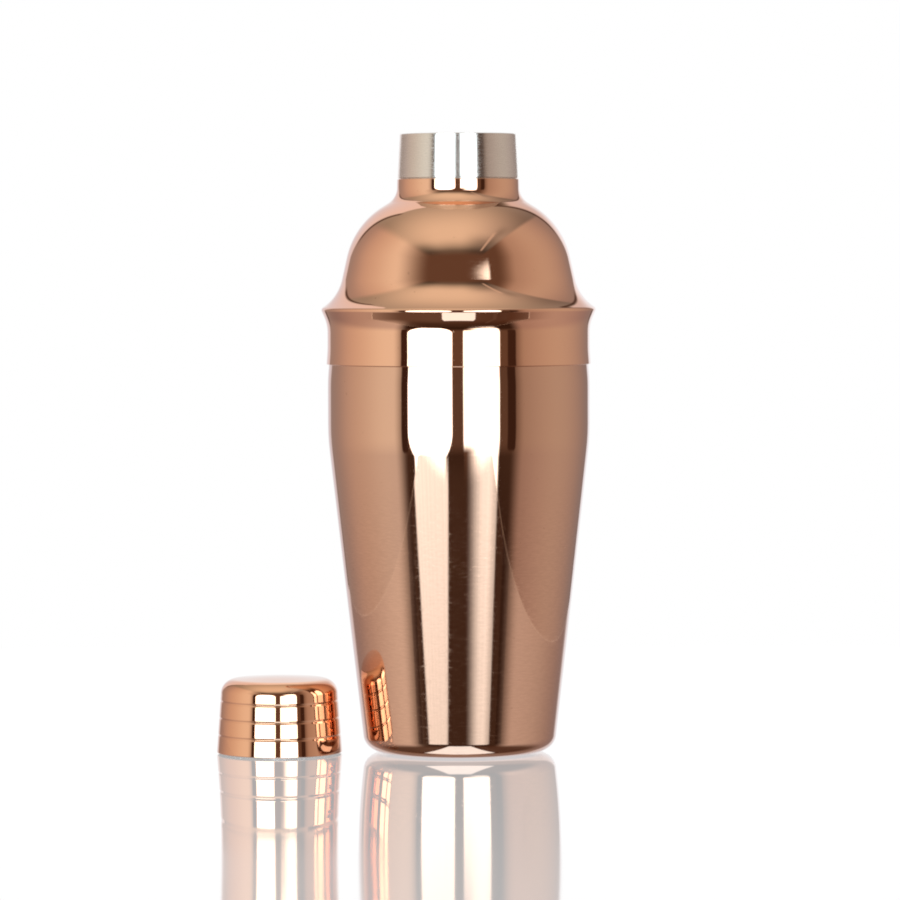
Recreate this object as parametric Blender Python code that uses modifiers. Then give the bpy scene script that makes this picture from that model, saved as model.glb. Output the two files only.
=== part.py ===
"""Cocktail shaker set: a cobbler shaker, with its cap standing beside it on the table.

The shaker is a drawn tumbler, a domed strainer top whose skirt slips over the tumbler's mouth, and a
pierced cup held in the top's neck. The cup's upper half stands out of the neck as a bare collar, and
the cap fits over that collar.

Units are metres and +Z is up. The origin is the centre of the tumbler's foot, on the table. The cap
stands on the -X side, a little to the front, which is -Y.
"""

import math

import bmesh
import bpy
from mathutils import Vector

# Driving dimensions
TUMBLER_RADIUS = 0.0425
TUMBLER_HEIGHT = 0.1446
SHEET = 0.0005
SLIP_CLEARANCE = 0.00015
PRESS_CLEARANCE = 0.0001
SEAM = 0.0003

# Tumbler
MOUTH_RADIUS = 0.0419
NECK_IN_TOP = 0.1279
NECK_IN_FOOT = 0.1204
NECK_IN_RADIUS = 0.060
KNEE_HEIGHT = 0.1018
KNEE_RADIUS = 0.080
TAPER = math.radians(6.56)
FOOT_CORNER_RADIUS = 0.0055

# Strainer top, with heights from the lower edge of its skirt. A BEND is the radius that rounds a corner.
SKIRT_OVERLAP = 0.0190
SKIRT_EDGE_RADIUS = 0.0429
WAIST_RADIUS = MOUTH_RADIUS + SLIP_CLEARANCE + SHEET
WAIST_FOOT = 0.0048
WAIST_FOOT_BEND = 0.040
WAIST_TOP = 0.0128
WAIST_TOP_BEND = 0.012
RIM_RADIUS = 0.04473
RIM_HEIGHT = 0.01796
RIM_BEND = 0.0011
FLARE_RADIUS = 0.03898
FLARE_HEIGHT = 0.02205
FLARE_BEND = 0.0146
SHOULDER_RADIUS = 0.03383
SHOULDER_HEIGHT = 0.04523
SHOULDER_BEND = 0.0259
NECK_FOOT_RADIUS = 0.01987
NECK_FOOT_HEIGHT = 0.05389
NECK_FOOT_BEND = 0.0059
NECK_RADIUS = 0.01975
NECK_HEIGHT = 0.05985

# Strainer cup, with heights from the upper edge of the copper neck
COLLAR_HEIGHT = 0.01455
COLLAR_TOP_RADIUS = 0.01885
COLLAR_FOOT_RADIUS = 0.0196
CUP_DEPTH = 0.0085
CUP_CORNER_RADIUS = 0.0015
HOLE_RADIUS = 0.0012
HOLE_PITCH = 0.0046
HOLE_RINGS = 3

# Cap, with heights from its mouth
CAP_HEIGHT = 0.0247
CAP_CROWN = 0.0012
CAP_MOUTH_RADIUS = 0.0203
CAP_SHEET = 0.00035
CAP_CLEARANCE = 0.00006
CAP_SHOULDER_RADIUS = 0.0048
GROOVE_HEIGHTS = (0.0166, 0.0111, 0.0056)
GROOVE_WIDTH = 0.0011
GROOVE_DEPTH = 0.00018
CAP_PLACE = Vector((-0.0585, -0.0045, 0.0))

# Fineness of the faceted solids
SEGMENTS = 40
ARC_STEP = math.radians(12)
HOLE_SIDES = 8
MERGE = 0.00001


def clear_scene():
    """Remove every object, so that the script always starts from nothing."""
    for obj in list(bpy.data.objects):
        bpy.data.objects.remove(obj)


def new_collection(name):
    collection = bpy.data.collections.new(name)
    bpy.context.scene.collection.children.link(collection)
    return collection


def metal(name, color, roughness):
    """A plain metal, as a Principled BSDF."""
    material = bpy.data.materials.new(name)
    material.use_nodes = True
    shader = material.node_tree.nodes["Principled BSDF"]
    shader.inputs["Base Color"].default_value = (*color, 1.0)
    shader.inputs["Metallic"].default_value = 1.0
    shader.inputs["Roughness"].default_value = roughness
    return material


def arc_points(before, corner, after, radius):
    """Points of the arc that rounds a corner, from its first tangent point to its last."""
    towards = (before - corner).normalized()
    away = (after - corner).normalized()
    half = towards.angle(away) / 2
    reach = radius / math.tan(half)
    centre = corner + (towards + away).normalized() * (radius / math.sin(half))
    start = corner + towards * reach - centre
    sweep = start.angle_signed(corner + away * reach - centre)
    count = max(2, math.ceil(abs(sweep) / ARC_STEP))
    points = []
    for step in range(count + 1):
        angle = -sweep * step / count
        turned = Vector((
            start.x * math.cos(angle) - start.y * math.sin(angle),
            start.x * math.sin(angle) + start.y * math.cos(angle),
        ))
        points.append(centre + turned)
    return points


def rounded_outline(corners):
    """Points along a polyline of (radius, height, corner radius), with its corners rounded."""
    places = [Vector(corner[:2]) for corner in corners]
    outline = [places[0]]
    for index in range(1, len(corners) - 1):
        radius = corners[index][2]
        if radius > 0:
            outline += arc_points(places[index - 1], places[index], places[index + 1], radius)
        else:
            outline.append(places[index])
    outline.append(places[-1])
    return outline


def turned(name, outline, material, collection, wall=0.0):
    """Turn an outline round Z. A wall thickens the surface inwards into a shell."""
    mesh = bpy.data.meshes.new(name)
    points = [(point.x, 0.0, point.y) for point in outline]
    mesh.from_pydata(points, [(i, i + 1) for i in range(len(points) - 1)], [])
    mesh.materials.append(material)
    obj = bpy.data.objects.new(name, mesh)
    collection.objects.link(obj)
    screw = obj.modifiers.new("turn", "SCREW")
    screw.steps = SEGMENTS
    screw.render_steps = SEGMENTS
    screw.use_merge_vertices = True
    screw.merge_threshold = MERGE
    screw.use_smooth_shade = True
    if wall:
        shell = obj.modifiers.new("sheet", "SOLIDIFY")
        shell.thickness = wall
        shell.offset = -1
        shell.use_even_offset = True
    return obj


def tumbler_outline():
    foot_radius = TUMBLER_RADIUS - KNEE_HEIGHT * math.tan(TAPER)
    return rounded_outline([
        (MOUTH_RADIUS, TUMBLER_HEIGHT, 0),
        (MOUTH_RADIUS, NECK_IN_TOP, NECK_IN_RADIUS),
        (TUMBLER_RADIUS, NECK_IN_FOOT, NECK_IN_RADIUS),
        (TUMBLER_RADIUS, KNEE_HEIGHT, KNEE_RADIUS),
        (foot_radius, 0, FOOT_CORNER_RADIUS),
        (0, 0, 0),
    ])


def strainer_top_outline():
    return rounded_outline([
        (NECK_RADIUS, NECK_HEIGHT, 0),
        (NECK_FOOT_RADIUS, NECK_FOOT_HEIGHT, NECK_FOOT_BEND),
        (SHOULDER_RADIUS, SHOULDER_HEIGHT, SHOULDER_BEND),
        (FLARE_RADIUS, FLARE_HEIGHT, FLARE_BEND),
        (RIM_RADIUS, RIM_HEIGHT, RIM_BEND),
        (WAIST_RADIUS, WAIST_TOP, WAIST_TOP_BEND),
        (WAIST_RADIUS, WAIST_FOOT, WAIST_FOOT_BEND),
        (SKIRT_EDGE_RADIUS, 0, 0),
    ])


def strainer_cup_outline():
    cup_radius = NECK_RADIUS - SHEET - PRESS_CLEARANCE
    return rounded_outline([
        (COLLAR_TOP_RADIUS, COLLAR_HEIGHT, 0),
        (COLLAR_FOOT_RADIUS, SEAM, 0),
        (cup_radius, SEAM, 0),
        (cup_radius, -CUP_DEPTH, CUP_CORNER_RADIUS),
        (0, -CUP_DEPTH, 0),
    ])


def cap_radius(height, taper):
    return CAP_MOUTH_RADIUS - taper * height


def cap_outline():
    """The cap's outer side down to its mouth, then its bore back up to the axis.

    The bore has the taper at which it just clears the whole height of the collar, and the outer side
    has the same taper, so the wall is even except at the grooves.
    """
    bore_at_collar_top = COLLAR_TOP_RADIUS + CAP_CLEARANCE
    taper = (CAP_MOUTH_RADIUS - CAP_SHEET - bore_at_collar_top) / COLLAR_HEIGHT
    edge_height = CAP_HEIGHT - CAP_CROWN
    corners = [(0, CAP_HEIGHT, 0), (cap_radius(edge_height, taper), edge_height, CAP_SHOULDER_RADIUS)]
    for height in GROOVE_HEIGHTS:
        upper = height + GROOVE_WIDTH / 2
        lower = height - GROOVE_WIDTH / 2
        corners.append((cap_radius(upper, taper), upper, 0))
        corners.append((cap_radius(height, taper) - GROOVE_DEPTH, height, 0))
        corners.append((cap_radius(lower, taper), lower, 0))
    ceiling = edge_height - CAP_SHEET
    corners += [
        (CAP_MOUTH_RADIUS, 0, 0),
        (CAP_MOUTH_RADIUS - CAP_SHEET, 0, 0),
        (cap_radius(ceiling, taper) - CAP_SHEET, ceiling, CAP_SHOULDER_RADIUS - CAP_SHEET),
        (0, CAP_HEIGHT - CAP_SHEET, 0),
    ]
    return rounded_outline(corners)


def hole_places():
    """Centres of the strainer's holes: one in the middle, then rings of 6, 12 and 18."""
    places = [Vector((0.0, 0.0))]
    for ring in range(1, HOLE_RINGS + 1):
        count = 6 * ring
        for index in range(count):
            angle = 2 * math.pi * (index + 0.5 * (ring % 2)) / count
            places.append(Vector((math.cos(angle), math.sin(angle))) * HOLE_PITCH * ring)
    return places


def pierce(cup, collection):
    """Cut the strainer's holes through the floor of the cup."""
    mesh = bpy.data.meshes.new("strainer_hole_cutter")
    cutter = bpy.data.objects.new("strainer_hole_cutter", mesh)
    collection.objects.link(cutter)
    shape = bmesh.new()
    for place in hole_places():
        made = bmesh.ops.create_cone(
            shape, cap_ends=True, segments=HOLE_SIDES,
            radius1=HOLE_RADIUS, radius2=HOLE_RADIUS, depth=SHEET * 6,
        )
        bmesh.ops.translate(shape, verts=made["verts"], vec=(place.x, place.y, 0))
    shape.to_mesh(mesh)
    shape.free()
    cutter.parent = cup
    cutter.location = (0, 0, SHEET / 2 - CUP_DEPTH)
    cutter.hide_render = True
    cutter.display_type = "WIRE"
    cut = cup.modifiers.new("holes", "BOOLEAN")
    cut.operation = "DIFFERENCE"
    cut.solver = "EXACT"
    cut.object = cutter


def build():
    clear_scene()
    shaker = new_collection("cocktail_shaker_set")
    cutters = new_collection("cutters")
    copper = metal("polished_copper", (0.86, 0.52, 0.38), 0.05)
    steel = metal("brushed_steel", (0.62, 0.60, 0.57), 0.30)

    turned("tumbler", tumbler_outline(), copper, shaker, SHEET)

    top = turned("strainer_top", strainer_top_outline(), copper, shaker, SHEET)
    top.location = (0, 0, TUMBLER_HEIGHT - SKIRT_OVERLAP)

    cup = turned("strainer_cup", strainer_cup_outline(), steel, shaker, SHEET)
    cup.parent = top
    cup.location = (0, 0, NECK_HEIGHT)
    pierce(cup, cutters)

    cap = turned("cap", cap_outline(), copper, shaker)
    cap.location = CAP_PLACE


build()
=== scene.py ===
"""The looks of the cocktail shaker set: finely turned shells, their finishes, a studio and a camera.

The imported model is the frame. Each of its four nodes is replaced by a finer piece of the same shape,
turned from the same outline, with rounded lips. The three copper pieces are plated outside and bare
steel inside, and the strainer cup is brushed steel.

Units are metres, +Z is up and the camera looks along +Y. A studio direction is given in degrees: its
azimuth is 0 towards the camera and positive to the right, and its elevation is 0 at the horizon.
"""

import math

import bmesh
import bpy
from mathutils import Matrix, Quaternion, Vector


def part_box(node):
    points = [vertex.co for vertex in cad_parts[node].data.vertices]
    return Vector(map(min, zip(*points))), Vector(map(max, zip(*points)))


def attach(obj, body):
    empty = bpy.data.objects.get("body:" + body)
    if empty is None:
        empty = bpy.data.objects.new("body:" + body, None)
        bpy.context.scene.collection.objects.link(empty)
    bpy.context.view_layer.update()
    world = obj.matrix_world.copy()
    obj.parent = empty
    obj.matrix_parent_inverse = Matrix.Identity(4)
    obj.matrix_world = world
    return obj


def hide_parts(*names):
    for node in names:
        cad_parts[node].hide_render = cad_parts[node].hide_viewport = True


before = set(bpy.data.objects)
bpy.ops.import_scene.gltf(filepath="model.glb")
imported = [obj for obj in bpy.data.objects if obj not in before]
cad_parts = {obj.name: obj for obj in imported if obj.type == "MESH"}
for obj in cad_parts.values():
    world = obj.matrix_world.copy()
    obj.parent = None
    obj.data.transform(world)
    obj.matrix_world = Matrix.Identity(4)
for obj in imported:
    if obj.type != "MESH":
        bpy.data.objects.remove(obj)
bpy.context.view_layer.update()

# Places, from the frame
TUMBLER_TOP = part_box("tumbler")[1].z
SKIRT_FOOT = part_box("strainer_top")[0].z
NECK_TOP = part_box("strainer_top")[1].z
COLLAR_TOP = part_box("strainer_cup")[1].z
CUP_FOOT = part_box("strainer_cup")[0].z
CAP_LOW, CAP_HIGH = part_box("cap")
CAP_HEIGHT = CAP_HIGH.z
CAP_CENTRE = Vector(((CAP_LOW.x + CAP_HIGH.x) / 2, (CAP_LOW.y + CAP_HIGH.y) / 2, 0))
TUMBLER_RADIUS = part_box("tumbler")[1].x

# Sheet metal
SHEET = 0.0005
CAP_SHEET = 0.00035

# Tumbler. A BEND is the radius that rounds a corner.
MOUTH_RADIUS = 0.0419
NECK_IN_TOP = 0.1279
NECK_IN_FOOT = 0.1204
NECK_IN_BEND = 0.060
KNEE_HEIGHT = 0.1018
KNEE_BEND = 0.080
TAPER = math.radians(6.56)
FOOT_BEND = 0.0055

# Strainer top, with heights from the lower edge of its skirt
SKIRT_EDGE_RADIUS = 0.0429
WAIST_RADIUS = 0.04255
WAIST_FOOT = 0.0048
WAIST_FOOT_BEND = 0.040
WAIST_TOP = 0.0128
WAIST_TOP_BEND = 0.012
RIM_RADIUS = 0.04473
RIM_HEIGHT = 0.01796
RIM_BEND = 0.0011
FLARE_RADIUS = 0.03898
FLARE_HEIGHT = 0.02205
FLARE_BEND = 0.0146
SHOULDER_RADIUS = 0.03383
SHOULDER_HEIGHT = 0.04523
SHOULDER_BEND = 0.0259
NECK_FOOT_RADIUS = 0.01987
NECK_FOOT_HEIGHT = 0.05389
NECK_FOOT_BEND = 0.0059
NECK_RADIUS = 0.01975

# Strainer cup, with heights from the upper edge of the copper neck
SEAM = 0.0003
PRESS_CLEARANCE = 0.0001
COLLAR_TOP_RADIUS = 0.01885
COLLAR_FOOT_RADIUS = 0.0196
CUP_RADIUS = NECK_RADIUS - SHEET - PRESS_CLEARANCE
CUP_BEND = 0.0015
STEP_BEND = 0.00012
HOLE_RADIUS = 0.0012
HOLE_PITCH = 0.0046
HOLE_RINGS = 3

# Cap, with heights from its mouth. Its shallow conical crown is rounded out to CROWN_TIP_RADIUS.
CROWN_HEIGHT = 0.0012
CROWN_TIP_RADIUS = 0.009
CAP_MOUTH_RADIUS = 0.0203
CAP_CLEARANCE = 0.00006
CAP_SHOULDER_BEND = 0.0048
GROOVE_HEIGHTS = (0.0166, 0.0111, 0.0056)
GROOVE_WIDTH = 0.0011
GROOVE_DEPTH = 0.00018
GROOVE_BEND = 0.0004

# Fineness
SEGMENTS = 288
ARC_STEP = math.radians(2.5)
RUN_STEP = 0.003
HOLE_SIDES = 24
SHARP_ANGLE = math.radians(40)
# A point nearer to the axis than this is on it
ON_AXIS = 0.0000001

# Materials, in the order of each piece's slots
OUTSIDE, INSIDE = 0, 1


# ---------------------------------------------------------------- outlines

def rotated(vector, angle):
    return Vector((
        vector.x * math.cos(angle) - vector.y * math.sin(angle),
        vector.x * math.sin(angle) + vector.y * math.cos(angle),
    ))


def outward(start, end):
    """The normal of a run of outline that goes down its outer side."""
    along = (end - start).normalized()
    return Vector((-along.y, along.x))


def add_run(outline, end, normal):
    """Add a straight run to an outline of (point, normal) pairs, in even steps."""
    start = outline[-1][0]
    count = max(1, math.ceil((end - start).length / RUN_STEP))
    for step in range(1, count + 1):
        outline.append((start.lerp(end, step / count), normal))


def add_bend(outline, centre, start, sweep, normal):
    """Add the arc that starts at the offset start from its centre and turns by sweep."""
    count = max(3, math.ceil(abs(sweep) / ARC_STEP))
    for step in range(1, count + 1):
        angle = sweep * step / count
        outline.append((centre + rotated(start, angle), rotated(normal, angle)))


def rounded_outline(corners):
    """(point, normal) pairs along a polyline of (radius, height, bend radius) corners."""
    places = [Vector(corner[:2]) for corner in corners]
    normal = outward(places[0], places[1])
    outline = [(places[0], normal)]
    for index in range(1, len(corners) - 1):
        corner = places[index]
        towards = (places[index - 1] - corner).normalized()
        away = (places[index + 1] - corner).normalized()
        bend = corners[index][2]
        half = towards.angle(away) / 2
        reach = bend / math.tan(half)
        centre = corner + (towards + away).normalized() * (bend / math.sin(half))
        add_run(outline, corner + towards * reach, normal)
        next_normal = outward(corner, places[index + 1])
        sweep = -normal.angle_signed(next_normal)
        add_bend(outline, centre, outline[-1][0] - centre, sweep, normal)
        normal = next_normal
    add_run(outline, places[-1], normal)
    return outline


def add_lip(outline, wall):
    """Round the end of an outline over to the wall's inner side, as a half circle that ends where it did."""
    point, normal = outline.pop()
    along = (point - outline[-1][0]).normalized()
    point = point - along * (wall / 2)
    outline.append((point, normal))
    sweep = math.copysign(math.pi, normal.x * along.y - normal.y * along.x)
    add_bend(outline, point - normal * (wall / 2), normal * (wall / 2), sweep, normal)


def backwards(outline):
    """The same outline from its other end."""
    return list(reversed(outline))


def inner_side(outline, wall):
    """The inner side of a sheet, in the same order as its outer side."""
    return [(point - normal * wall, -normal) for point, normal in outline]


def there_and_back(outer, wall):
    """An outline along a sheet's outer side, over the lip at its end and back along its inner side.

    Returns the outline and the range of its points that are inside.
    """
    outline = list(outer)
    add_lip(outline, wall)
    first_inside = len(outline) - 1
    outline += backwards(inner_side(outer, wall))[1:]
    return outline, range(first_inside, len(outline))


def open_sleeve(outer, wall):
    """The closed outline of a sheet with a lip at both its ends, and the range that is inside."""
    outline, inside = there_and_back(outer, wall)
    inside = range(inside.start, len(outline) - 1)
    add_lip(outline, wall)
    outline.pop()
    start, normal = outline[0]
    outline[0] = (start - Vector((0, wall / 2)), normal)
    return outline, inside


# ---------------------------------------------------------------- meshes

def turn(name, outline, inside, materials):
    """Turn an outline round Z. The points in the range inside have the inner finish.

    An outline that starts on the axis also ends there. Any other closes on its first point.
    """
    shape = bmesh.new()
    rings = []
    normals = []
    for point, normal in outline:
        on_axis = point.x < ON_AXIS
        ring = []
        for segment in range(1 if on_axis else SEGMENTS):
            angle = 2 * math.pi * segment / SEGMENTS
            around = Vector((math.cos(angle), math.sin(angle)))
            ring.append(shape.verts.new((point.x * around.x, point.x * around.y, point.y)))
            sideways = 0.0 if on_axis else normal.x
            normals.append(Vector((sideways * around.x, sideways * around.y, normal.y)).normalized())
        rings.append(ring)
    closed = outline[0][0].x > ON_AXIS
    bands = len(rings) if closed else len(rings) - 1
    for index in range(bands):
        upper = rings[index]
        lower = rings[(index + 1) % len(rings)]
        finish = INSIDE if index in inside else OUTSIDE
        for segment in range(SEGMENTS):
            after = (segment + 1) % SEGMENTS
            corners = [upper[segment % len(upper)], lower[segment % len(lower)]]
            if len(lower) > 1:
                corners.append(lower[after])
            if len(upper) > 1:
                corners.append(upper[after])
            face = shape.faces.new(corners)
            face.smooth = True
            face.material_index = finish
    mesh = bpy.data.meshes.new(name)
    shape.to_mesh(mesh)
    shape.free()
    mesh.normals_split_custom_set_from_vertices(normals)
    for material in materials:
        mesh.materials.append(material)
    piece = bpy.data.objects.new(name, mesh)
    bpy.context.scene.collection.objects.link(piece)
    return piece


def settle(piece, place, body, node):
    """Put a piece in its place on a body, as the finer version of a node, which it hides."""
    piece.location = place
    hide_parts(node)
    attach(piece, body)


def tumbler_outer():
    foot_radius = TUMBLER_RADIUS - KNEE_HEIGHT * math.tan(TAPER)
    return rounded_outline([
        (MOUTH_RADIUS, TUMBLER_TOP, 0),
        (MOUTH_RADIUS, NECK_IN_TOP, NECK_IN_BEND),
        (TUMBLER_RADIUS, NECK_IN_FOOT, NECK_IN_BEND),
        (TUMBLER_RADIUS, KNEE_HEIGHT, KNEE_BEND),
        (foot_radius, 0, FOOT_BEND),
        (0, 0, 0),
    ])


def strainer_top_outer():
    return rounded_outline([
        (NECK_RADIUS, NECK_TOP - SKIRT_FOOT, 0),
        (NECK_FOOT_RADIUS, NECK_FOOT_HEIGHT, NECK_FOOT_BEND),
        (SHOULDER_RADIUS, SHOULDER_HEIGHT, SHOULDER_BEND),
        (FLARE_RADIUS, FLARE_HEIGHT, FLARE_BEND),
        (RIM_RADIUS, RIM_HEIGHT, RIM_BEND),
        (WAIST_RADIUS, WAIST_TOP, WAIST_TOP_BEND),
        (WAIST_RADIUS, WAIST_FOOT, WAIST_FOOT_BEND),
        (SKIRT_EDGE_RADIUS, 0, 0),
    ])


def strainer_cup_outer():
    return rounded_outline([
        (COLLAR_TOP_RADIUS, COLLAR_TOP - NECK_TOP, 0),
        (COLLAR_FOOT_RADIUS, SEAM, STEP_BEND),
        (CUP_RADIUS, SEAM, STEP_BEND),
        (CUP_RADIUS, CUP_FOOT - NECK_TOP, CUP_BEND),
        (0, CUP_FOOT - NECK_TOP, 0),
    ])


def crown_tip(slope):
    """The rounded middle of the cap's top, out to where the crown's cone goes on at its slope."""
    end = Vector((CROWN_TIP_RADIUS, CAP_HEIGHT - CROWN_TIP_RADIUS * math.tan(slope)))
    bend = CROWN_TIP_RADIUS / math.sin(slope)
    centre = Vector((0, end.y - bend * math.cos(slope)))
    upwards = Vector((0, 1))
    outline = [(centre + upwards * bend, upwards)]
    add_bend(outline, centre, upwards * bend, -slope, upwards)
    return outline, end


def cap_outer():
    """The cap's outer side, from the middle of its top to its mouth, with three rolled grooves.

    Its taper is the one at which the bore just clears the whole height of the collar.
    """
    edge = CAP_HEIGHT - CROWN_HEIGHT
    bore_at_collar_top = COLLAR_TOP_RADIUS + CAP_CLEARANCE
    taper = (CAP_MOUTH_RADIUS - CAP_SHEET - bore_at_collar_top) / (COLLAR_TOP - NECK_TOP)
    edge_radius = CAP_MOUTH_RADIUS - taper * edge
    tip, tip_end = crown_tip(math.atan2(CROWN_HEIGHT, edge_radius))
    corners = [(*tip_end, 0), (edge_radius, edge, CAP_SHOULDER_BEND)]
    for height in GROOVE_HEIGHTS:
        for offset, depth in ((GROOVE_WIDTH / 2, 0), (0, GROOVE_DEPTH), (-GROOVE_WIDTH / 2, 0)):
            radius = CAP_MOUTH_RADIUS - taper * (height + offset) - depth
            corners.append((radius, height + offset, GROOVE_BEND))
    corners.append((CAP_MOUTH_RADIUS, 0, 0))
    return tip + rounded_outline(corners)[1:]


# ---------------------------------------------------------------- node graphs

class Graph:
    """Short calls that add shader nodes to a tree. Those that work out a value return its output socket."""

    def __init__(self, tree):
        self.tree = tree
        tree.nodes.clear()

    def add(self, kind, **settings):
        node = self.tree.nodes.new(kind)
        for name, value in settings.items():
            setattr(node, name, value)
        return node

    def feed(self, socket, value):
        if isinstance(value, bpy.types.NodeSocket):
            self.tree.links.new(value, socket)
        else:
            socket.default_value = value

    def math(self, operation, *values):
        node = self.add("ShaderNodeMath", operation=operation)
        for socket, value in zip(node.inputs, values):
            self.feed(socket, value)
        return node.outputs[0]

    def plus(self, a, b):
        return self.math("ADD", a, b)

    def minus(self, a, b):
        return self.math("SUBTRACT", a, b)

    def times(self, *values):
        """The product of all its values."""
        product = values[0]
        for value in values[1:]:
            product = self.math("MULTIPLY", product, value)
        return product

    def over(self, a, b):
        return self.math("DIVIDE", a, b)

    def ramp(self, value, start, end, low=0.0, high=1.0):
        """Goes smoothly from low at start to high at end."""
        node = self.add("ShaderNodeMapRange", interpolation_type="SMOOTHSTEP")
        for name, setting in (("Value", value), ("From Min", start), ("From Max", end),
                              ("To Min", low), ("To Max", high)):
            self.feed(node.inputs[name], setting)
        return node.outputs[0]

    def band(self, value, start, end, soft):
        """1 between start and end, and 0 outside, with soft edges."""
        rise = self.ramp(value, start - soft, start + soft)
        fall = self.ramp(value, end - soft, end + soft, 1.0, 0.0)
        return self.times(rise, fall)

    def blend(self, share, first, second):
        """A colour: first where share is 0, second where it is 1."""
        node = self.add("ShaderNodeMix", data_type="RGBA")
        self.feed(node.inputs[0], share)
        for socket, value in ((node.inputs[6], first), (node.inputs[7], second)):
            self.feed(socket, value if isinstance(value, bpy.types.NodeSocket) else (*value, 1.0))
        return node.outputs[2]

    def scaled(self, vector, factor):
        """A vector or a colour times a factor."""
        node = self.add("ShaderNodeVectorMath", operation="SCALE")
        self.feed(node.inputs[0], vector)
        self.feed(node.inputs["Scale"], factor)
        return node.outputs[0]

    def tinted(self, color, factors):
        """A colour times a colour."""
        node = self.add("ShaderNodeVectorMath", operation="MULTIPLY")
        self.feed(node.inputs[0], color)
        self.feed(node.inputs[1], factors)
        return node.outputs[0]

    def noise(self, vector, scale, detail=2.0, roughness=0.5):
        node = self.add("ShaderNodeTexNoise")
        for name, setting in (("Vector", vector), ("Scale", scale), ("Detail", detail),
                              ("Roughness", roughness)):
            self.feed(node.inputs[name], setting)
        return node.outputs["Fac"]

    def vector(self, x, y, z):
        node = self.add("ShaderNodeCombineXYZ")
        for socket, value in zip(node.inputs, (x, y, z)):
            self.feed(socket, value)
        return node.outputs[0]

    def parts(self, vector):
        """The three parts of a vector."""
        node = self.add("ShaderNodeSeparateXYZ")
        self.feed(node.inputs[0], vector)
        return node.outputs


# ---------------------------------------------------------------- finishes

# The strainer top and the cap each have their own tone of plating. The tumbler's is the same plating
# darkened, as painted shade for the dimmer light on it
TUMBLER_COPPER_SHADED = (0.815, 0.503, 0.354)
TOP_COPPER = (0.960, 0.560, 0.370)
CAP_COPPER = (0.960, 0.535, 0.335)
COPPER_PALER = (0.985, 1.015, 1.03)
COPPER_EDGE = (0.85, 0.90, 0.97)
COPPER_SPECK = (0.42, 0.22, 0.13)
COLLAR_STEEL = (0.86, 0.815, 0.755)
INNER_STEEL = (0.74, 0.72, 0.69)
COLLAR_ROUGHNESS = 0.25
INNER_ROUGHNESS = 0.30
# Depths of the surface detail
WAVE_DEPTH = 0.000020
LINE_DEPTH = 0.0000004
BRUSHING_DEPTH = 0.0000008
# The tumbler's plating is brushed below the first of these heights, and most below the second
WORN_FROM = 0.100
WORN_FULLY = 0.065
# The dome's flank is a little steeper around this height above the skirt's edge, by up to this slope
STEEPER_HEIGHT = 0.0299
STEEPER_REACH = 0.0045
STEEPER_SLOPE = 0.006


def finish_metal(graph, color, roughness, normal, **others):
    """End a material's graph with a metallic Principled BSDF. Others are its further inputs, by name."""
    shader = graph.add("ShaderNodeBsdfPrincipled")
    shader.inputs["Metallic"].default_value = 1.0
    inputs = {"Base Color": color, "Roughness": roughness, "Normal": normal}
    inputs.update(others)
    for name, value in inputs.items():
        graph.feed(shader.inputs[name], value)
    output = graph.add("ShaderNodeOutputMaterial")
    graph.tree.links.new(shader.outputs[0], output.inputs["Surface"])


def bump(graph, height, distance, below=None):
    """A normal tilted by a height, on top of the normal below."""
    node = graph.add("ShaderNodeBump")
    node.inputs["Distance"].default_value = distance
    node.inputs["Strength"].default_value = 1.0
    graph.feed(node.inputs["Height"], height)
    if below is not None:
        graph.feed(node.inputs["Normal"], below)
    return node.outputs[0]


def steepened(graph, z, height, normal):
    """Tilt a normal down around a height, most at that height and not at all beyond STEEPER_REACH of it."""
    offset = graph.math("MAXIMUM", graph.minus(z, height), -STEEPER_REACH)
    part = graph.over(graph.math("MINIMUM", offset, STEEPER_REACH), STEEPER_REACH)
    cube = graph.times(part, part, part)
    profile = graph.minus(part, graph.over(cube, 3.0))
    return bump(graph, profile, STEEPER_SLOPE * STEEPER_REACH, normal)


def polished_copper(name, tone, wear=0.0, steeper_height=None):
    """Mirror-bright copper plating, with faint polishing lines round it, waviness and a few specks.

    Wear is how far the plating is brushed dull low down. A flank with a steeper_height is steeper there.
    """
    material = bpy.data.materials.new(name)
    material.use_nodes = True
    graph = Graph(material.node_tree)
    place = graph.add("ShaderNodeTexCoord").outputs["Object"]
    x, y, z = graph.parts(place)
    lines = graph.noise(graph.vector(x, y, graph.times(z, 7.0)), 420.0, 3.0)
    waves = graph.noise(graph.vector(x, y, graph.times(z, 0.5)), 60.0, 1.0)
    specks = graph.ramp(graph.noise(place, 900.0, 2.0), 0.74, 0.79)
    mottle = graph.noise(place, 35.0, 2.0)
    pale = tuple(value * factor for value, factor in zip(tone, COPPER_PALER))
    color = graph.blend(mottle, tone, pale)
    color = graph.blend(graph.times(specks, 0.5), color, COPPER_SPECK)
    around = graph.vector(graph.times(x, 0.15), graph.times(y, 0.15), z)
    hairlines = graph.noise(around, 2600.0, 3.0, 0.6)
    lower = graph.times(graph.ramp(z, WORN_FROM, WORN_FULLY), wear)
    streaks = graph.times(lower, graph.ramp(hairlines, 0.35, 0.65, -0.04, 0.03))
    color = graph.scaled(color, graph.plus(1.0, streaks))
    worn = graph.times(lower, graph.ramp(hairlines, 0.45, 0.75, 0.0, 0.11))
    worn = graph.plus(worn, graph.times(specks, 0.2))
    roughness = graph.plus(graph.ramp(lines, 0.35, 0.75, 0.015, 0.05), worn)
    normal = bump(graph, waves, WAVE_DEPTH)
    if steeper_height is not None:
        normal = steepened(graph, z, steeper_height, normal)
    normal = bump(graph, lines, LINE_DEPTH, normal)
    finish_metal(graph, color, roughness, normal, **{"Specular Tint": (*COPPER_EDGE, 1.0)})
    return material


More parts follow.
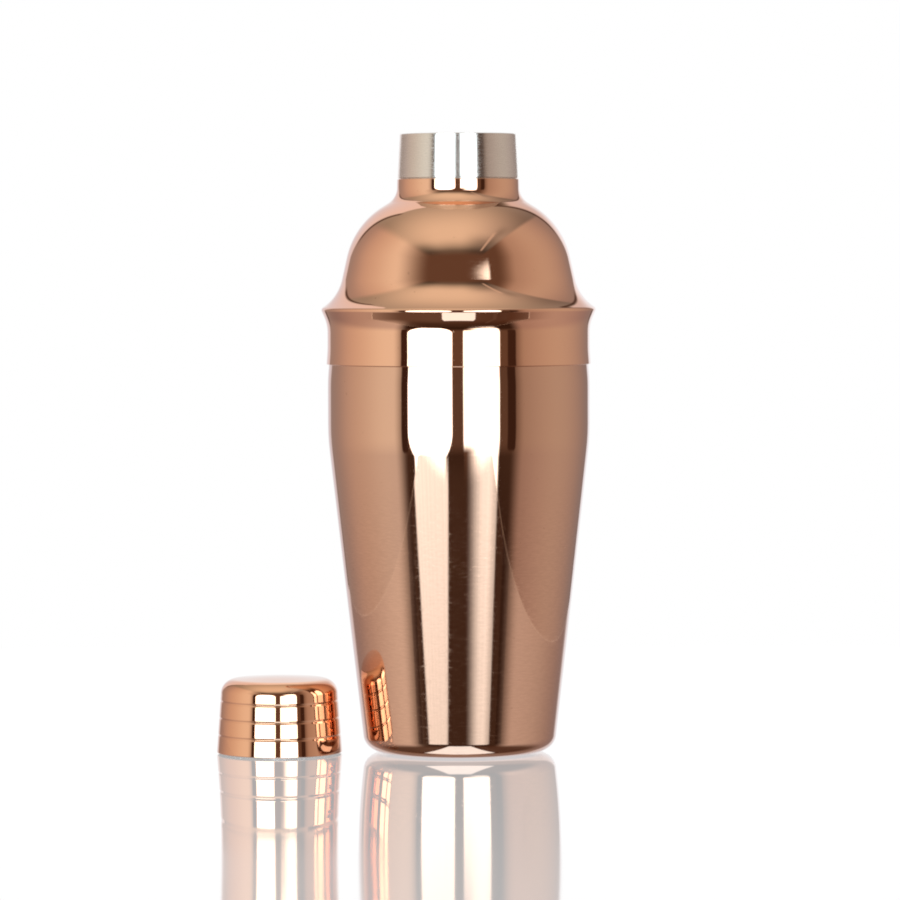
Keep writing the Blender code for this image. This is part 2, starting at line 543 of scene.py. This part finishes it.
def brushed_steel(name, roughness, color):
    """Bare steel brushed round its axis, so that its highlights spread up and down."""
    material = bpy.data.materials.new(name)
    material.use_nodes = True
    graph = Graph(material.node_tree)
    x, y, z = graph.parts(graph.add("ShaderNodeTexCoord").outputs["Object"])
    lines = graph.vector(graph.times(x, 0.06), graph.times(y, 0.06), z)
    brushing = graph.noise(lines, 4200.0, 3.0, 0.6)
    darker = tuple(0.93 * value for value in color)
    shaded = graph.blend(graph.ramp(brushing, 0.35, 0.65), darker, color)
    rough = graph.ramp(brushing, 0.3, 0.7, roughness - 0.03, roughness + 0.03)
    normal = bump(graph, brushing, BRUSHING_DEPTH)
    tangent = graph.add("ShaderNodeTangent", direction_type="RADIAL", axis="Z").outputs[0]
    finish_metal(graph, shaded, rough, normal, **{
        "Anisotropic": 0.9, "Anisotropic Rotation": 0.25, "Tangent": tangent,
    })
    return material


# ---------------------------------------------------------------- pieces

def build_tumbler(copper, steel):
    outline, inside = there_and_back(backwards(tumbler_outer()), SHEET)
    inside = range(len(outline) - inside.stop, len(outline) - inside.start)
    piece = turn("copper_tumbler", backwards(outline), inside, (copper, steel))
    settle(piece, (0, 0, 0), "tumbler", "tumbler")


def build_strainer_top(copper, steel):
    outline, inside = open_sleeve(strainer_top_outer(), SHEET)
    piece = turn("copper_strainer_top", outline, inside, (copper, steel))
    settle(piece, (0, 0, SKIRT_FOOT), "strainer_top", "strainer_top")


def hole_places():
    """Centres of the strainer's holes: one in the middle, then rings of 6, 12 and 18."""
    places = [Vector((0.0, 0.0))]
    for ring in range(1, HOLE_RINGS + 1):
        count = 6 * ring
        for index in range(count):
            angle = 2 * math.pi * (index + 0.5 * (ring % 2)) / count
            places.append(Vector((math.cos(angle), math.sin(angle))) * HOLE_PITCH * ring)
    return places


def pierce(piece, floor):
    """Cut the strainer's holes through the floor of the cup, and remove the cutter."""
    mesh = bpy.data.meshes.new("hole_cutter")
    cutter = bpy.data.objects.new("hole_cutter", mesh)
    bpy.context.scene.collection.objects.link(cutter)
    shape = bmesh.new()
    for place in hole_places():
        made = bmesh.ops.create_cone(
            shape, cap_ends=True, segments=HOLE_SIDES,
            radius1=HOLE_RADIUS, radius2=HOLE_RADIUS, depth=SHEET * 6,
        )
        bmesh.ops.translate(shape, verts=made["verts"], vec=(place.x, place.y, floor + SHEET / 2))
    shape.to_mesh(mesh)
    shape.free()
    cut = piece.modifiers.new("holes", "BOOLEAN")
    cut.operation = "DIFFERENCE"
    cut.solver = "EXACT"
    cut.object = cutter
    depsgraph = bpy.context.evaluated_depsgraph_get()
    pierced = bpy.data.meshes.new_from_object(piece.evaluated_get(depsgraph))
    piece.modifiers.clear()
    piece.data = pierced
    bpy.data.objects.remove(cutter)
    pierced.shade_smooth()
    pierced.set_sharp_from_angle(angle=SHARP_ANGLE)


def build_strainer_cup(steel):
    """The cup with the bare collar, which has the same finish on both its sides."""
    outline, _ = there_and_back(backwards(strainer_cup_outer()), SHEET)
    piece = turn("steel_strainer_cup", backwards(outline), range(0), (steel,))
    pierce(piece, CUP_FOOT - NECK_TOP)
    settle(piece, (0, 0, NECK_TOP), "strainer_top", "strainer_cup")


def build_cap(copper, steel):
    outline, inside = there_and_back(cap_outer(), CAP_SHEET)
    piece = turn("copper_cap", outline, inside, (copper, steel))
    settle(piece, CAP_CENTRE, "cap", "cap")


# ---------------------------------------------------------------- studio

WHITE = (1.0, 1.0, 1.0)

# Softboxes stand in front, on both sides of the camera: azimuth and elevation limits in degrees
LEFT_BOX = {"start": -45.0, "end": -6.0, "low": -18.0, "high": 20.0, "corner": 14.0}
RIGHT_BOX = {"start": 4.2, "end": 35.6, "low": -18.5, "high": 23.2, "corner": 5.0, "soft": 1.0}
SOFTBOX_LIGHT = (4.5, 5.2, 5.7)
# Dark stands beside the softboxes
STANDS = (
    {"start": 43.3, "end": 51.0, "low": -12.0, "high": 20.0, "corner": 2.0},
    {"start": -51.5, "end": -45.5, "low": -13.0, "high": 21.0, "corner": 2.0},
)
STAND_LIGHT = (0.049, 0.023, 0.015)

# The darkness between the softboxes, with the camera in it, and below them
GAP_LIGHT = (0.13, 0.078, 0.055)
UNDER_LIGHT = (0.036, 0.018, 0.011)

# The backdrop behind the set, a rod across the ceiling and the floor beside the stage
BACKDROP_LIGHT = (1.02, 1.02, 1.02)
BACKDROP_LEFT_LIGHT = (0.90, 0.84, 0.86)
BACKDROP_RIGHT_LIGHT = (1.10, 1.12, 1.16)
BACKDROP_TOP_RIGHT_LIGHT = (0.78, 0.70, 0.70)
BACKDROP_BELOW_LIGHT = (0.95, 0.93, 0.95)
OUTLINE_LIGHT = (0.08, 0.045, 0.03)
ROD_LIGHT = (0.66, 0.58, 0.52)
FLOOR_LIGHT = (0.09, 0.04, 0.025)

# The clear sheet that the set stands on. The metal sees it end around SHEET_FRONT.
SHEET_LOW = Vector((-0.238, -0.420, 0.0))
SHEET_HIGH = Vector((0.194, 0.400, 0.0))
SHEET_DROP = 0.0005
SHEET_FRONT = -0.376
SHEET_FADE = 0.035
SHEET_IOR = 1.5
CUT_EDGE = 0.0014
CUT_EDGE_SOFT = 0.0004
CUT_EDGE_LIGHT = (0.85, 0.80, 0.75)
# Its sag, which starts this far in front of the shaker's axis
SAG_START = 0.08
SAG_POWER = 1.35
SAG_SLOPE = 0.258

# The light panel that lies below the front of the sheet
PANEL_DEPTH = 0.325
PANEL_HALF_WIDTH = 0.137
PANEL_FRONT = -0.555
PANEL_BACK = 0.020
PANEL_LIGHT = (1.30, 1.62, 1.92)

# The camera
CAMERA_PLACE = Vector((-0.0029, -1.525, 0.1609))
CAMERA_TARGET = Vector((-0.0029, 0.0, 0.0976))
CAMERA_ROLL = -0.003
CAMERA_LENS = 188
CAMERA_SENSOR = 36
CAMERA_NEAREST = 0.01

# The smallest part of a direction that another part is divided by
LEAST = 0.02


def bearings(graph, x, towards, z):
    """Azimuth and elevation of a direction, in degrees."""
    azimuth = graph.math("DEGREES", graph.math("ARCTAN2", x, towards))
    elevation = graph.math("DEGREES", graph.math("ARCSINE", z))
    return azimuth, elevation


def rounded_box(graph, azimuth, elevation, start, end, low, high, corner, soft=0.7):
    """1 inside a rectangle of directions with rounded corners, and 0 outside it."""
    reaches = []
    for value, first, last in ((azimuth, start, end), (elevation, low, high)):
        offset = graph.math("ABSOLUTE", graph.minus(value, (first + last) / 2))
        reach = graph.math("MAXIMUM", graph.minus(offset, (last - first) / 2 - corner), 0.0)
        reaches.append(graph.times(reach, reach))
    distance = graph.math("SQRT", graph.plus(*reaches))
    return graph.ramp(distance, corner - soft, corner + soft, 1.0, 0.0)


def stops(graph, value, first, last, colors):
    """A colour that runs through evenly spaced colours as value goes from first to last."""
    node = graph.add("ShaderNodeValToRGB")
    node.color_ramp.interpolation = "B_SPLINE"
    elements = node.color_ramp.elements
    while len(elements) < len(colors):
        elements.new(0.5)
    for index, color in enumerate(colors):
        elements[index].position = index / (len(colors) - 1)
        elements[index].color = (*color, 1.0)
    graph.feed(node.inputs[0], graph.over(graph.minus(value, first), last - first))
    return node.outputs[0]


def wall_light(graph, azimuth, elevation):
    """Side walls above a dark floor. The left one is brightest at the front, the right one in its middle."""
    on_right = graph.math("GREATER_THAN", azimuth, 0.0)
    left = stops(graph, azimuth, -55.0, -145.0, (
        (0.84, 0.78, 0.70), (0.86, 0.79, 0.69), (0.76, 0.66, 0.57), (0.68, 0.56, 0.475),
        (0.60, 0.48, 0.42), (0.45, 0.365, 0.335), (0.40, 0.325, 0.29),
    ))
    right = stops(graph, azimuth, 45.0, 150.0, (
        (0.34, 0.25, 0.20), (0.45, 0.35, 0.30), (0.53, 0.43, 0.37), (0.56, 0.475, 0.41),
        (0.52, 0.43, 0.38), (0.43, 0.35, 0.32), (0.33, 0.27, 0.25),
    ))
    light = graph.blend(on_right, left, right)
    lower_tint = graph.blend(on_right, (0.70, 0.68, 0.74), (0.88, 0.84, 0.90))
    light = graph.blend(graph.ramp(elevation, -6.0, -20.0), light, graph.tinted(light, lower_tint))
    return graph.blend(graph.ramp(elevation, -30.0, -50.0), light, FLOOR_LIGHT)


def ceiling(graph, x, towards, z):
    """A flat ceiling that darkens towards all its sides, and how much of it a direction shows.

    Across and ahead are where a ray meets it, in units of its height.
    """
    up = graph.math("MAXIMUM", z, LEAST)
    across = graph.over(x, up)
    ahead = graph.over(towards, up)
    level = graph.times(
        graph.ramp(across, 0.0, 0.95, 1.0, 0.46),
        graph.ramp(across, -0.30, -1.10, 1.0, 0.76),
        graph.ramp(ahead, 0.45, -0.75, 1.0, 0.56),
        graph.ramp(ahead, 0.62, 1.55, 1.0, 0.20),
    )
    shades = (
        (graph.band(across, 0.60, 0.74, 0.08), graph.band(ahead, 0.1, 1.3, 0.2), 0.28),
        (graph.ramp(across, -0.45, -0.95), graph.ramp(ahead, 0.45, 1.10), 0.40),
        (graph.ramp(across, 0.0, 0.50), graph.ramp(ahead, 0.40, 0.85), 0.35),
    )
    for shade in shades:
        level = graph.times(level, graph.minus(1.0, graph.times(*shade)))
    color = graph.blend(graph.ramp(across, 0.1, 0.8), (0.82, 0.77, 0.67), (0.82, 0.75, 0.69))
    light = graph.scaled(color, level)
    rod = graph.times(
        graph.band(graph.minus(across, graph.times(ahead, 0.06)), 0.54, 0.60, 0.014),
        graph.band(ahead, 0.35, 1.35, 0.10),
    )
    light = graph.blend(graph.times(rod, 0.75), light, ROD_LIGHT)
    share = graph.times(
        graph.ramp(across, -1.25, -0.90),
        graph.ramp(across, 0.80, 0.90, 1.0, 0.0),
        graph.ramp(ahead, 1.15, 2.00, 1.0, 0.0),
    )
    return light, share


def backdrop_share(graph, x, y, z, elevation):
    """How much of a direction shows the white backdrop behind the set, and how much its dark outline.

    Rise and aside are where a ray meets it, in units of its distance. It leans a little to the left,
    and its top edge is bowed.
    """
    behind = graph.math("MAXIMUM", y, LEAST)
    rise = graph.over(z, behind)
    lean = graph.math("MULTIPLY_ADD", rise, 0.12, 0.05)
    aside = graph.math("ABSOLUTE", graph.plus(graph.over(x, behind), lean))
    half_width = graph.plus(
        graph.ramp(rise, -0.06, 0.30, 0.43, 0.55),
        graph.ramp(rise, -0.08, -0.22, 0.0, -0.08),
    )
    beyond = graph.minus(aside, half_width)
    bowed = graph.math("SQRT", graph.plus(graph.times(aside, aside), 0.03))
    top = graph.minus(1.95, graph.times(bowed, 0.95))
    common = graph.times(graph.ramp(y, 0.0, 0.05), graph.ramp(elevation, -45.0, -25.0))
    share = graph.times(
        graph.ramp(beyond, -0.02, 0.04, 1.0, 0.0),
        graph.ramp(graph.minus(rise, top), -0.04, 0.03, 1.0, 0.0),
        common,
    )
    outlined = graph.plus(graph.band(rise, 0.35, 1.5, 0.1), graph.ramp(rise, -0.08, -0.20))
    outline = graph.times(graph.band(beyond, 0.04, 0.12, 0.03), outlined, common)
    return share, outline


def backdrop_light(graph, x, elevation):
    """The backdrop's light, which changes a little towards its sides."""
    right = graph.blend(
        graph.ramp(elevation, 8.0, 24.0), BACKDROP_RIGHT_LIGHT, BACKDROP_TOP_RIGHT_LIGHT,
    )
    light = graph.blend(graph.ramp(x, 0.10, 0.25), BACKDROP_LIGHT, right)
    return graph.blend(graph.ramp(x, -0.10, -0.26), light, BACKDROP_LEFT_LIGHT)


def softbox_light(graph, azimuth, elevation):
    """The softboxes' light, faintly streaked. The right one's top and bottom dim beside a hot middle."""
    stripes = graph.noise(graph.vector(azimuth, 0.0, 0.0), 1.6, 4.0, 0.7)
    light = graph.scaled(SOFTBOX_LIGHT, graph.ramp(stripes, 0.3, 0.7, 0.66, 1.16))
    ends = graph.plus(graph.ramp(elevation, 6.0, 15.0), graph.ramp(elevation, -7.0, -14.0))
    hot = graph.times(graph.ramp(azimuth, 6.0, 24.0), graph.ramp(azimuth, 27.0, 37.0, 1.0, 0.5))
    on_right = graph.math("GREATER_THAN", azimuth, 0.0)
    dimming = graph.times(ends, on_right, graph.minus(1.0, hot))
    return graph.blend(dimming, light, GAP_LIGHT)


def front_gap(graph, light, azimuth, elevation):
    """Lay the darkness around the camera over a light. Its sides blur upwards, more on the left."""
    dark = graph.blend(graph.ramp(elevation, -8.0, -18.0), GAP_LIGHT, UNDER_LIGHT)
    on_left = graph.math("LESS_THAN", azimuth, 0.0)
    spread = graph.times(graph.ramp(elevation, 12.0, 25.0), graph.plus(graph.times(on_left, 11.0), 6.0))
    start = graph.minus(46.0, spread)
    end = graph.plus(60.0, graph.times(spread, 0.8))
    return graph.blend(graph.ramp(graph.math("ABSOLUTE", azimuth), start, end), dark, light)


def studio_world():
    """What the metal reflects, as a function of direction, and a plain white background for the camera."""
    world = bpy.data.worlds.new("studio")
    bpy.context.scene.world = world
    world.use_nodes = True
    graph = Graph(world.node_tree)
    x, y, z = graph.parts(graph.add("ShaderNodeTexCoord").outputs["Generated"])
    towards = graph.times(y, -1.0)
    azimuth, elevation = bearings(graph, x, towards, z)

    light = front_gap(graph, wall_light(graph, azimuth, elevation), azimuth, elevation)
    above, share = ceiling(graph, x, towards, z)
    light = graph.blend(graph.times(share, graph.ramp(elevation, 20.0, 26.0)), light, above)
    backdrop, outline = backdrop_share(graph, x, y, z, elevation)
    light = graph.blend(graph.times(outline, 0.92), light, OUTLINE_LIGHT)
    light = graph.blend(backdrop, light, backdrop_light(graph, x, elevation))
    for stand in STANDS:
        light = graph.blend(rounded_box(graph, azimuth, elevation, **stand), light, STAND_LIGHT)
    glow = softbox_light(graph, azimuth, elevation)
    for softbox in (LEFT_BOX, RIGHT_BOX):
        light = graph.blend(rounded_box(graph, azimuth, elevation, **softbox), light, glow)

    camera_ray = graph.add("ShaderNodeLightPath").outputs["Is Camera Ray"]
    background = graph.add("ShaderNodeBackground")
    graph.feed(background.inputs["Color"], graph.blend(camera_ray, light, WHITE))
    output = graph.add("ShaderNodeOutputWorld")
    graph.tree.links.new(background.outputs[0], output.inputs["Surface"])


def under_light(graph):
    """What a ray sees below the sheet: a light panel, the dark in front and the white backdrop behind."""
    geometry = graph.add("ShaderNodeNewGeometry")
    here_x, here_y, _ = graph.parts(geometry.outputs["Position"])
    x, y, z = graph.parts(graph.scaled(geometry.outputs["Incoming"], -1.0))
    azimuth, elevation = bearings(graph, x, graph.times(y, -1.0), z)
    aside = graph.math("ABSOLUTE", azimuth)
    side = graph.blend(graph.ramp(aside, 60.0, 140.0), (0.70, 0.62, 0.59), (0.34, 0.26, 0.25))
    light = graph.blend(graph.ramp(aside, 44.0, 66.0), UNDER_LIGHT, side)
    deep = graph.blend(graph.ramp(aside, 115.0, 150.0), (0.08, 0.035, 0.02), (0.34, 0.27, 0.24))
    light = graph.blend(graph.ramp(elevation, -22.0, -42.0), light, deep)
    behind = graph.times(graph.ramp(aside, 148.0, 156.0), graph.ramp(elevation, -42.0, -28.0))
    light = graph.blend(behind, light, BACKDROP_BELOW_LIGHT)
    reach = graph.over(PANEL_DEPTH, graph.math("MAXIMUM", graph.times(z, -1.0), LEAST))
    across = graph.math("ABSOLUTE", graph.plus(here_x, graph.times(x, reach)))
    ahead = graph.plus(here_y, graph.times(y, reach))
    panel = graph.times(
        graph.ramp(across, PANEL_HALF_WIDTH - 0.005, PANEL_HALF_WIDTH + 0.005, 1.0, 0.0),
        graph.band(ahead, PANEL_FRONT, PANEL_BACK, 0.01),
    )
    return graph.blend(panel, light, PANEL_LIGHT)


def mixed(graph, share, first, second):
    """A shader: first where share is 0, second where it is 1."""
    node = graph.add("ShaderNodeMixShader")
    for socket, value in zip(node.inputs, (share, first, second)):
        graph.feed(socket, value)
    return node.outputs[0]


def sheet_material():
    """Clear acrylic that mirrors at a shallow angle, with a cut edge that catches the light.

    The camera sees plain white through it. The metal sees what is below it, and sees it fade out at its
    front. The sheet sags between its supports, so towards the camera its slope shortens and then
    repeats the mirror image, which also blurs a little.
    """
    material = bpy.data.materials.new("clear_acrylic")
    material.use_nodes = True
    graph = Graph(material.node_tree)
    camera_ray = graph.add("ShaderNodeLightPath").outputs["Is Camera Ray"]
    x = graph.parts(graph.add("ShaderNodeTexCoord").outputs["Object"])[0]
    world_y = graph.parts(graph.add("ShaderNodeNewGeometry").outputs["Position"])[1]

    half_width = (SHEET_HIGH.x - SHEET_LOW.x) / 2
    beside = graph.minus(half_width, graph.math("ABSOLUTE", x))
    edge = graph.band(beside, 0.0, CUT_EDGE, CUT_EDGE_SOFT)
    below = graph.blend(edge, under_light(graph), CUT_EDGE_LIGHT)
    through = graph.add("ShaderNodeEmission")
    graph.feed(through.inputs["Color"], graph.blend(camera_ray, below, WHITE))

    nearer = graph.math("MAXIMUM", graph.minus(-SAG_START, world_y), 0.0)
    slope = graph.times(graph.math("POWER", nearer, SAG_POWER), SAG_SLOPE, camera_ray)
    blur = graph.times(graph.ramp(nearer, 0.09, 0.20, 0.0, 0.06), camera_ray)
    mirror = graph.add("ShaderNodeBsdfGlossy")
    mirror.inputs["Color"].default_value = (*WHITE, 1.0)
    graph.feed(mirror.inputs["Roughness"], blur)
    graph.feed(mirror.inputs["Normal"], graph.vector(0.0, slope, 1.0))

    fresnel = graph.add("ShaderNodeFresnel")
    fresnel.inputs["IOR"].default_value = SHEET_IOR
    single = fresnel.outputs[0]
    both_sides = graph.over(graph.times(single, 1.74), graph.plus(single, 1.0))
    surface = mixed(graph, both_sides, through.outputs[0], mirror.outputs[0])
    beyond = graph.ramp(world_y, SHEET_FRONT + SHEET_FADE, SHEET_FRONT - SHEET_FADE)
    faded = graph.times(beyond, graph.minus(1.0, camera_ray))
    clear = graph.add("ShaderNodeBsdfTransparent").outputs[0]
    output = graph.add("ShaderNodeOutputMaterial")
    graph.feed(output.inputs["Surface"], mixed(graph, faded, surface, clear))
    return material


def build_table():
    """The sheet, as a level rectangle that isn't part of the object."""
    size = SHEET_HIGH - SHEET_LOW
    mesh = bpy.data.meshes.new("table")
    shape = bmesh.new()
    bmesh.ops.create_grid(shape, x_segments=1, y_segments=1, size=0.5)
    bmesh.ops.scale(shape, verts=shape.verts, vec=(size.x, size.y, 1.0))
    shape.to_mesh(mesh)
    shape.free()
    mesh.materials.append(sheet_material())
    table = bpy.data.objects.new("table", mesh)
    table.location = (SHEET_LOW + SHEET_HIGH) / 2
    table.location.z = -SHEET_DROP
    bpy.context.scene.collection.objects.link(table)


def build_camera():
    data = bpy.data.cameras.new("camera")
    data.lens = CAMERA_LENS
    data.sensor_width = CAMERA_SENSOR
    data.clip_start = CAMERA_NEAREST
    camera = bpy.data.objects.new("camera", data)
    bpy.context.scene.collection.objects.link(camera)
    camera.location = CAMERA_PLACE
    aim = (CAMERA_TARGET - CAMERA_PLACE).to_track_quat("-Z", "Y")
    camera.rotation_euler = (aim @ Quaternion((0, 0, 1), CAMERA_ROLL)).to_euler()
    bpy.context.scene.camera = camera


def build():
    bare = brushed_steel("bare_steel_inside", INNER_ROUGHNESS, INNER_STEEL)
    # The tumbler's copper is darkened as painted shade. Its brushing low down is real wear
    build_tumbler(polished_copper("tumbler_copper", TUMBLER_COPPER_SHADED, wear=1.0), bare)
    build_strainer_top(polished_copper("top_copper", TOP_COPPER, steeper_height=STEEPER_HEIGHT), bare)
    build_strainer_cup(brushed_steel("brushed_steel", COLLAR_ROUGHNESS, COLLAR_STEEL))
    build_cap(polished_copper("cap_copper", CAP_COPPER), bare)
    studio_world()
    build_table()
    build_camera()
    bpy.context.scene.view_settings.view_transform = "Standard"
    bpy.context.scene.cycles.filter_width = 2.0


build()
